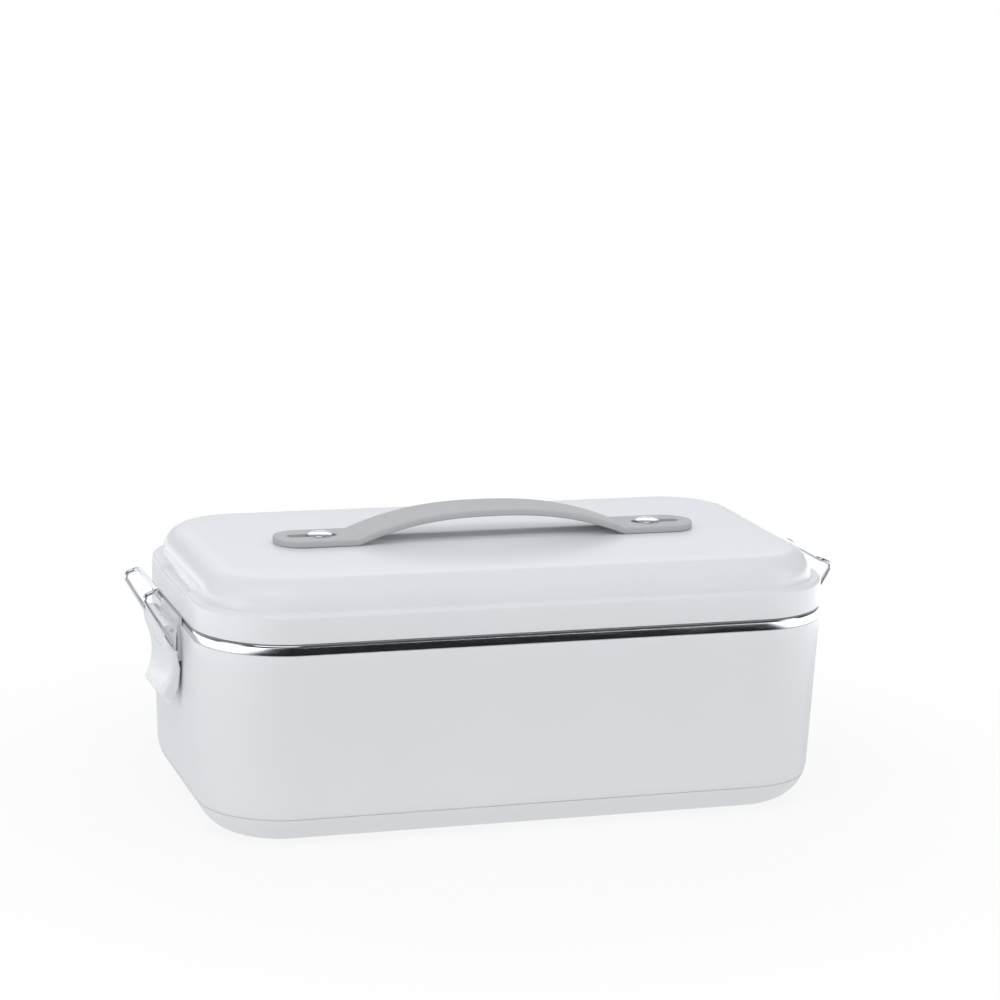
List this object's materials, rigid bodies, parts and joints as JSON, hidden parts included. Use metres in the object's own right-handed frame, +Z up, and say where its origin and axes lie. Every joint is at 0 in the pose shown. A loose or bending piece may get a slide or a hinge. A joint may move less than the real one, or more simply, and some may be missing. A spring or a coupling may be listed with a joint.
{
  "type": "electric lunch box",
  "caption": "Electric lunch box with a lift-out steel container, clear inner lid, domed outer lid with strap handle, and a wire bail latch at each end.",
  "frame": {"origin": "on the table under the middle of the body", "axes": "+X along the length, +Y away from the front, +Z up"},
  "size_m": [0.2684, 0.133, 0.1092],
  "materials": {
    "white_shell": "satin",
    "white_lid": "satin",
    "liner_plastic": "satin",
    "stainless_steel": "satin",
    "chrome_wire": "polished",
    "screw_steel": "satin",
    "aluminium_plate": "satin",
    "clear_plastic": "clear",
    "silicone_seal": "matte",
    "grey_strap": "satin",
    "foot_rubber": "matte",
    "black_plastic": "gloss",
    "element_brown": "matte",
    "brass_pin": "polished",
    "sleeve_ivory": "matte",
    "live_brown": "gloss",
    "link_red": "gloss",
    "neutral_blue": "gloss"
  },
  "bodies": {
    "root": {"outer_shell": "white_shell", "base_cover": "white_shell", "rubber_feet": "foot_rubber", "base_screws": "screw_steel", "inner_liner": "liner_plastic", "heater_plate": "aluminium_plate", "plate_screws": "screw_steel", "heating_element": "element_brown", "element_clamp": "stainless_steel", "clamp_screws": "screw_steel", "thermostat": "black_plastic", "thermal_fuse": "sleeve_ivory", "fuse_clip": "stainless_steel", "inlet_socket": "black_plastic", "inlet_pins": "brass_pin", "live_wire": "live_brown", "link_wire": "link_red", "neutral_wire": "neutral_blue", "latch_bracket_left": "white_shell", "latch_bracket_right": "white_shell", "lever_pin_left": "chrome_wire", "lever_pin_right": "chrome_wire"},
    "container": {"steel_container": "stainless_steel"},
    "inner_lid": {"clear_lid": "clear_plastic", "lid_seal": "silicone_seal"},
    "outer_lid": {"outer_lid": "white_lid", "carry_handle": "grey_strap", "handle_studs": "chrome_wire", "stud_washers": "screw_steel", "stud_nuts": "screw_steel"},
    "lever_left": {"latch_lever_left": "white_shell"},
    "lever_right": {"latch_lever_right": "white_shell"},
    "bail_left": {"wire_bail_left": "chrome_wire"},
    "bail_right": {"wire_bail_right": "chrome_wire"}
  },
  "joints": [
    {"name": "container_lift", "type": "slide", "parent": "root", "child": "container", "axis": [0, 0, -1], "range_m": [-0.07, 0]},
    {"name": "inner_lid_lift", "type": "slide", "parent": "container", "child": "inner_lid", "axis": [0, 0, 1], "range_m": [0, 0.0636]},
    {"name": "outer_lid_lift", "type": "slide", "parent": "inner_lid", "child": "outer_lid", "axis": [0, 0, 1], "range_m": [0, 0.0584]},
    {"name": "lever_left_hinge", "type": "hinge", "parent": "root", "child": "lever_left", "pos_m": [-0.1232, 0, 0.071], "axis": [0, -1, 0], "range_deg": [-40, 0]},
    {"name": "lever_right_hinge", "type": "hinge", "parent": "root", "child": "lever_right", "pos_m": [0.1232, 0, 0.071], "axis": [0, 1, 0], "range_deg": [-40, 0]},
    {"name": "bail_left_hinge", "type": "hinge", "parent": "lever_left", "child": "bail_left", "pos_m": [-0.1236, 0, 0.0663], "axis": [0, 1, 0], "range_deg": [0, 31.5]},
    {"name": "bail_right_hinge", "type": "hinge", "parent": "lever_right", "child": "bail_right", "pos_m": [0.1236, 0, 0.0663], "axis": [0, -1, 0], "range_deg": [0, 31.5]}
  ]
}
